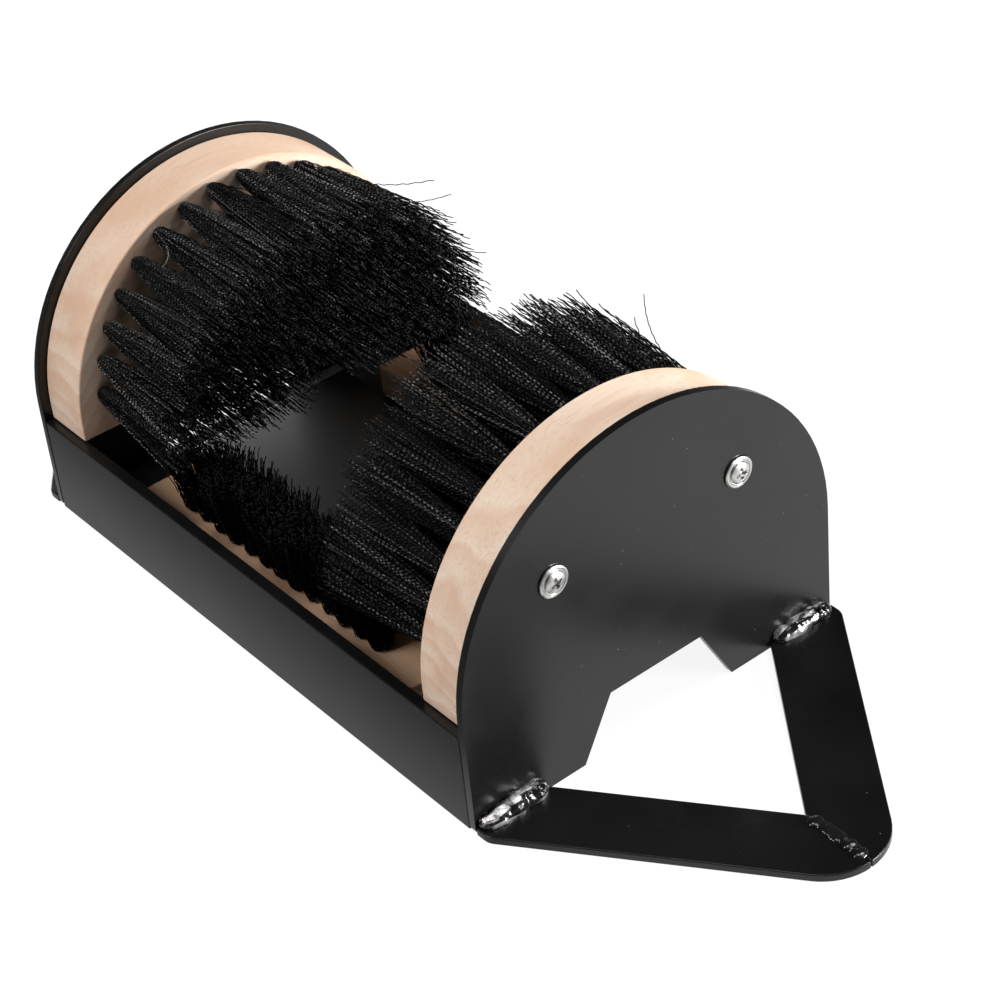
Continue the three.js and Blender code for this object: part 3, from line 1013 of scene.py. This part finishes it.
class BOOTSCRAPER_OT_board_screws(bpy.types.Operator):
    """Sets the small screws that hold the bottom boards from beneath"""
    bl_idname = "boot_scraper.board_screws"
    bl_label = "Board Screws"

    def execute(self, context):
        low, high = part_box("front_left_board_screw")
        middle = abs(low.y + high.y) / 2
        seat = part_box("base_plate")[1].z - 2.0 * MM
        head_radius = (high.x - low.x) / 2
        shank = 1.9 * MM
        top = 2.6 * MM
        profile = [
            (0.0, -11 * MM), (shank, -9 * MM), (shank, 0.0), (head_radius, 0.0), (head_radius, 0.8 * MM),
            (0.85 * head_radius, 1.6 * MM), (0.5 * head_radius, 2.3 * MM), (0.0, top)]
        head = turned_head("board_screw", profile, 32)
        cutter = cross_cutter(top, length=4.2 * MM, width=0.9 * MM, depth=1.5 * MM)
        values = {
            "Along": context.scene.boot_scraper_screw.along, "Across": middle, "Height": seat,
            "Down": 1.0, "Seed": 8}
        screw_group(
            "board_screws", recessed(head, cutter), values, at_corners("{end}_{side}_board_screw"))
        return {"FINISHED"}


# Welds

FOOT_SQUASH = Vector((1.0, 1.2, 0.93))
MITRE_SQUASH = Vector((1.1, 1.3, 0.55))
NO_SQUASH = Vector((1.0, 1.0, 1.0))

# Pale metallic patches show on a weld where its patches pass this value; they are partly uncoated metal and
# partly painted highlight
BRIGHT_WELD_LEAST = 0.49
BLACK_WELD_LEAST = 0.75


def weld_beads(tree, inputs):
    """Lumpy beads of blobs that are melted together along the edges of a mesh."""
    path = inputs["Geometry"].into("GeometryNodeMeshToCurve")
    path = path.into("GeometryNodeResampleCurve", {"Count": inputs["Blobs"]})
    spots = path.into("GeometryNodeCurveToPoints", mode="EVALUATED")
    index = add_node(tree, "GeometryNodeInputIndex")
    drift = [inputs["Scatter"] * chance(-1.0, 1.0, index, inputs["Seed"] + float(axis))
             for axis in range(3)]
    spots = spots.into("GeometryNodeSetPosition", {"Offset": combined(tree, *drift)})
    ball = add_node(
        tree, "GeometryNodeMeshIcoSphere", {"Radius": inputs["Blob Radius"], "Subdivisions": 3})
    swell = chance(0.72, 1.12, index, inputs["Seed"] + 3.0)
    blobs = spots.into(
        "GeometryNodeInstanceOnPoints", {"Instance": ball, "Scale": inputs["Squash"].scaled(swell)})
    bead = blobs.into("GeometryNodeRealizeInstances")
    for kind in ("GeometryNodeMeshToVolume", "GeometryNodeVolumeToMesh"):
        bead = bead.into(kind, {"Voxel Size": inputs["Voxel"]}, resolution_mode="VOXEL_SIZE")
    where = add_node(tree, "GeometryNodeInputPosition")
    molten = where.into("GeometryNodeBlurAttribute", {"Iterations": 10}, data_type="FLOAT_VECTOR")
    bead = bead.into("GeometryNodeSetPosition", {"Position": molten})
    lumps = where.into("ShaderNodeTexNoise", {"Scale": 300.0, "Detail": 2.0}, "Color")
    ripple = lumps.vector_maths("SUBTRACT", (0.5, 0.5, 0.5)).scaled(inputs["Ripple"])
    bead = bead.into("GeometryNodeSetPosition", {"Offset": ripple})
    return bead.into("GeometryNodeSetShadeSmooth")


def weld_group(name, runs, radius, squash, seed, coat, nodes, blobs=9, voxel=0.4 * MM):
    """One piece with a bead for each run from one point to another."""
    points = [point for run in runs for point in run]
    edges = [(2 * run, 2 * run + 1) for run in range(len(runs))]
    values = {
        "Blobs": blobs, "Blob Radius": radius, "Scatter": 0.12 * radius, "Squash": squash,
        "Voxel": voxel, "Ripple": 0.25 * radius, "Seed": seed, "Material": coat}
    piece = shaped_by(weld_beads, name, points_mesh(name, points, edges), values)
    hand_over(piece, "weld_metal", *nodes)


def in_quarters(start, stop, left_stop=None):
    """A run in each quarter of the frame, from start to stop, or to left_stop on the left."""
    runs = []
    for sign in SIDES.values():
        ends = (start, left_stop if left_stop and sign < 0 else stop)
        for flank in ENDS.values():
            runs.append([(sign * x, flank * y, z) for x, y, z in ends])
    return runs


def black_weld():
    settings = bpy.context.scene.boot_scraper_weld
    # Few pale patches on this one, partly painted highlight.
    return one_of("black weld", weld_coat, settings, BLACK_WELD_LEAST)


def weld_craters(settings, bead, coat, nodes):
    """A small crater in each foot weld, near its inner end in front and its outer end at the rear."""
    size = settings.crater
    foot = settings.foot_radius
    profile = [
        (0.0, -0.7 * size), (0.3 * size, -0.6 * size), (0.45 * size, 0.2 * size), (0.7 * size, 0.42 * size),
        (0.95 * size, 0.1 * size), (0.8 * size, -0.9 * size), (0.0, -1.3 * size)]
    out = 0.3 * foot + 0.7 * (0.92 * foot)
    places = {-1: -(bead[0].y + 0.75 * foot), 1: bead[1].y - 1.4 * foot}
    shape = bmesh.new()
    for sign in SIDES.values():
        for flank, y in places.items():
            ring = turned_head("crater", profile, 24)
            lean = Vector((sign, 0.2 * flank, 1.0)).to_track_quat("X", "Z").to_matrix().to_4x4()
            place = Matrix.Translation((sign * (PLATE_FACE + out), y, ARM_TOP + out))
            ring.transform(place @ lean)
            shape.from_mesh(ring)
            bpy.data.meshes.remove(ring)
    mesh = mesh_of("weld_craters", shape)
    mesh.shade_smooth()
    mesh.materials.append(coat)
    hand_over(placed("weld_craters", mesh), "weld_metal", *nodes)


class BOOTSCRAPER_OT_foot_welds(bpy.types.Operator):
    """Lays the lumpy beads between the end plates and the outriggers"""
    bl_idname = "boot_scraper.foot_welds"
    bl_label = "Foot Welds"

    def execute(self, context):
        settings = context.scene.boot_scraper_weld
        radius = settings.foot_radius
        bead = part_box("right_rear_foot_weld")
        stop = bead[1].y - radius
        x = PLATE_FACE + 0.3 * radius
        z = ARM_TOP + 0.3 * radius
        runs = in_quarters((x, bead[0].y + radius, z), (x, stop, z), (x, stop - settings.far_gap, z))
        nodes = at_corners("{side}_{end}_foot_weld")
        coat = one_of("bright weld", weld_coat, settings, BRIGHT_WELD_LEAST)
        weld_group("foot_welds", runs, radius, FOOT_SQUASH, 11, coat, nodes, 7)
        weld_craters(settings, bead, coat, nodes)
        return {"FINISHED"}


class BOOTSCRAPER_OT_mitre_welds(bpy.types.Operator):
    """Lays the low beads over the mitres of the outriggers"""
    bl_idname = "boot_scraper.mitre_welds"
    bl_label = "Mitre Welds"

    def execute(self, context):
        radius = context.scene.boot_scraper_weld.mitre_radius
        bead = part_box("right_mitre_weld")
        ends = (bead[0].x + radius, bead[1].x - radius)
        runs = [[(sign * x, 0.0, ARM_TOP) for x in ends] for sign in SIDES.values()]
        nodes = [side + "_mitre_weld" for side in SIDES]
        weld_group("mitre_welds", runs, radius, MITRE_SQUASH, 23, black_weld(), nodes)
        return {"FINISHED"}


class BOOTSCRAPER_OT_inner_welds(bpy.types.Operator):
    """Lays the beads inside the corners of the frame and under the base plate"""
    bl_idname = "boot_scraper.inner_welds"
    bl_label = "Inner Welds"

    def execute(self, context):
        radius = context.scene.boot_scraper_weld.hidden_radius
        inset = 0.4 * radius
        low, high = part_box("right_front_corner_weld")
        x = high.x - inset
        y = abs(low.y) - inset
        uprights = in_quarters((x, y, low.z + radius), (x, y, high.z - radius))
        weld_group(
            "corner_welds", uprights, radius, NO_SQUASH, 31, black_weld(),
            at_corners("{side}_{end}_corner_weld"), 15, 0.5 * MM)
        low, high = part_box("front_right_base_weld")
        y = abs(low.y) - inset
        z = high.z - inset
        lines = in_quarters((low.x + radius, y, z), (high.x - radius, y, z))
        weld_group(
            "base_welds", lines, radius, NO_SQUASH, 37, black_weld(),
            at_corners("{end}_{side}_base_weld"), 15, 0.5 * MM)
        return {"FINISHED"}


# Studio

FLOOR_REACH = 8.0
FLOOR_LEVEL = -0.05 * MM
LAMP_TARGET = Vector((0.0, 0.0, 0.06))

# Each lamp has its place, width, height and power.
LAMPS = {
    "key": ((0.5, 0.9, 1.6), 0.6, 0.6, 11.0),
    "top": ((0.1, -0.1, 1.7), 0.6, 0.6, 7.5),
    "fill": ((-0.3, -1.0, 1.1), 0.6, 0.6, 11.5),
    "side": ((1.3, 0.9, 0.28), 0.5, 0.5, 45.0),
    "back": ((-1.3, 0.1, 0.16), 1.0, 0.26, 16.0),
}


def glow_with_painted_shade(tree):
    """Painted shade: 1 on the open floor, falling to 0 under the frame from the far end plate to short of
    the near one, where the frame keeps the light off it and the floor's glow is taken off.
    """
    x, y, _ = on_object(tree).parts()
    sides = y.maths("ABSOLUTE").stepped(HALF_DEPTH - 4 * MM, HALF_DEPTH - 2 * MM, 0.0, 1.0)
    behind = x.stepped(-PLATE_FACE, 2 * MM - PLATE_FACE, 1.0, 0.0)
    ahead = x.stepped(50 * MM, 90 * MM, 0.0, 1.0)
    return sides.maths("MAXIMUM", behind.maths("MAXIMUM", ahead))


def painted_floor_reflection(tree):
    """Painted reflection: how bright the floor looks in the steel only, bright beside the object, dark
    further away and dark in front of it.
    """
    here = on_object(tree)
    around = here.length().stepped(300 * MM, 500 * MM, 0.92, 0.0)
    ahead = here.parts()[1].stepped(-110 * MM, -60 * MM, 0.0, 1.0)
    return around * ahead


def floor_surface(settings):
    """A pale floor that looks white and still shows the object's shadow, with a painted shade under the
    frame where its glow is taken off.
    """
    material, tree = new_material("floor")

    def ray(kind):
        return add_node(tree, "ShaderNodeLightPath", output=f"Is {kind} Ray")

    seen = ray("Camera").maths("MAXIMUM", ray("Glossy")).maths("MAXIMUM", ray("Transmission"))
    matt = add_node(tree, "ShaderNodeBsdfDiffuse", {"Color": opaque(settings.floor)})
    faint = opaque(tuple(0.33 * channel for channel in settings.floor))
    shadowed = add_node(tree, "ShaderNodeBsdfDiffuse", {"Color": faint})
    # Glossy rays see the painted floor reflection instead of the even glow.
    strength = glow_with_painted_shade(tree) * ray("Glossy").blended(0.9, painted_floor_reflection(tree))
    glow = add_node(
        tree, "ShaderNodeEmission", {"Color": (1.0, 1.0, 1.0, 1.0), "Strength": strength})
    white = shadowed.into("ShaderNodeAddShader", {1: glow})
    add_last_node("ShaderNodeOutputMaterial", seen.into("ShaderNodeMixShader", {1: matt, 2: white}))
    return material


def surround(settings):
    """A surround that is grey at the horizon and dark above."""
    world = bpy.data.worlds.new("studio")
    bpy.context.scene.world = world
    world.use_nodes = True
    tree = world.node_tree
    tree.nodes.clear()
    height = add_node(tree, "ShaderNodeTexCoord", output="Generated").parts()[2]
    shade = height.ramp((0.0, (0.35, 0.35, 0.35)), (0.14, tuple(settings.ceiling)))
    light = shade.into("ShaderNodeBackground", {"Strength": 1.0})
    add_last_node("ShaderNodeOutputWorld", light)


def softbox(name, place, width, height, power):
    lamp = bpy.data.lights.new(name, "AREA")
    lamp.shape = "RECTANGLE"
    lamp.size = width
    lamp.size_y = height
    lamp.energy = power
    holder = placed(name, lamp)
    holder.location = place
    holder.rotation_euler = (LAMP_TARGET - Vector(place)).to_track_quat("-Z", "Y").to_euler()


def aim_camera(settings):
    """Sets up the camera at the viewing angle of the picture."""
    lens = bpy.data.cameras.new("camera")
    lens.lens = settings.lens
    lens.sensor_width = 36.0
    lens.clip_start = 0.01
    camera = placed("camera", lens)
    place = Vector(settings.place)
    forward = (Vector(settings.aim) - place).normalized()
    right = forward.cross(AXIS_Z).normalized()
    level = Matrix((right, right.cross(forward), -forward)).transposed()
    leaning = level @ Matrix.Rotation(settings.roll, 3, "Z")
    camera.matrix_world = Matrix.Translation(place) @ leaning.to_4x4()
    bpy.context.scene.camera = camera


class BOOTSCRAPER_OT_studio(bpy.types.Operator):
    """Sets up the camera, the pale floor and the soft lights"""
    bl_idname = "boot_scraper.studio"
    bl_label = "Studio"

    def execute(self, context):
        settings = context.scene.boot_scraper_studio
        aim_camera(settings)
        corners = [(x * FLOOR_REACH, y * FLOOR_REACH, FLOOR_LEVEL)
                   for x, y in ((-1, -1), (1, -1), (1, 1), (-1, 1))]
        mesh = bpy.data.meshes.new("floor")
        mesh.from_pydata(corners, [], [(0, 1, 2, 3)])
        mesh.materials.append(floor_surface(settings))
        placed("floor", mesh)
        surround(settings)
        for name, lamp in LAMPS.items():
            softbox(name, *lamp)
        context.scene.view_settings.view_transform = "Standard"
        return {"FINISHED"}


class BOOTSCRAPER_PT_sidebar(bpy.types.Panel):
    """Lists the steps that make the boot scraper"""
    bl_idname = "BOOTSCRAPER_PT_sidebar"
    bl_label = "Boot Scraper"
    bl_space_type = "VIEW_3D"
    bl_region_type = "UI"
    bl_category = "Boot Scraper"

    def draw(self, context):
        for step in STEPS:
            self.layout.operator(step.bl_idname)


STEPS = (
    BOOTSCRAPER_OT_studio,
    BOOTSCRAPER_OT_end_plates,
    BOOTSCRAPER_OT_strips_and_base,
    BOOTSCRAPER_OT_outriggers,
    BOOTSCRAPER_OT_side_blocks,
    BOOTSCRAPER_OT_brush_boards,
    BOOTSCRAPER_OT_side_brushes,
    BOOTSCRAPER_OT_bottom_brushes,
    BOOTSCRAPER_OT_block_screws,
    BOOTSCRAPER_OT_board_screws,
    BOOTSCRAPER_OT_foot_welds,
    BOOTSCRAPER_OT_mitre_welds,
    BOOTSCRAPER_OT_inner_welds,
)


def register():
    for name, group in SETTINGS.items():
        bpy.utils.register_class(group)
        setattr(bpy.types.Scene, name, PointerProperty(type=group))
    for step in (*STEPS, BOOTSCRAPER_PT_sidebar):
        bpy.utils.register_class(step)


def unregister():
    for step in (*STEPS, BOOTSCRAPER_PT_sidebar):
        bpy.utils.unregister_class(step)
    for name, group in SETTINGS.items():
        delattr(bpy.types.Scene, name)
        bpy.utils.unregister_class(group)


def main():
    register()
    for step in STEPS:
        run_step = getattr(bpy.ops.boot_scraper, step.bl_idname.removeprefix("boot_scraper."))
        run_step()


if __name__ == "__main__":
    main()
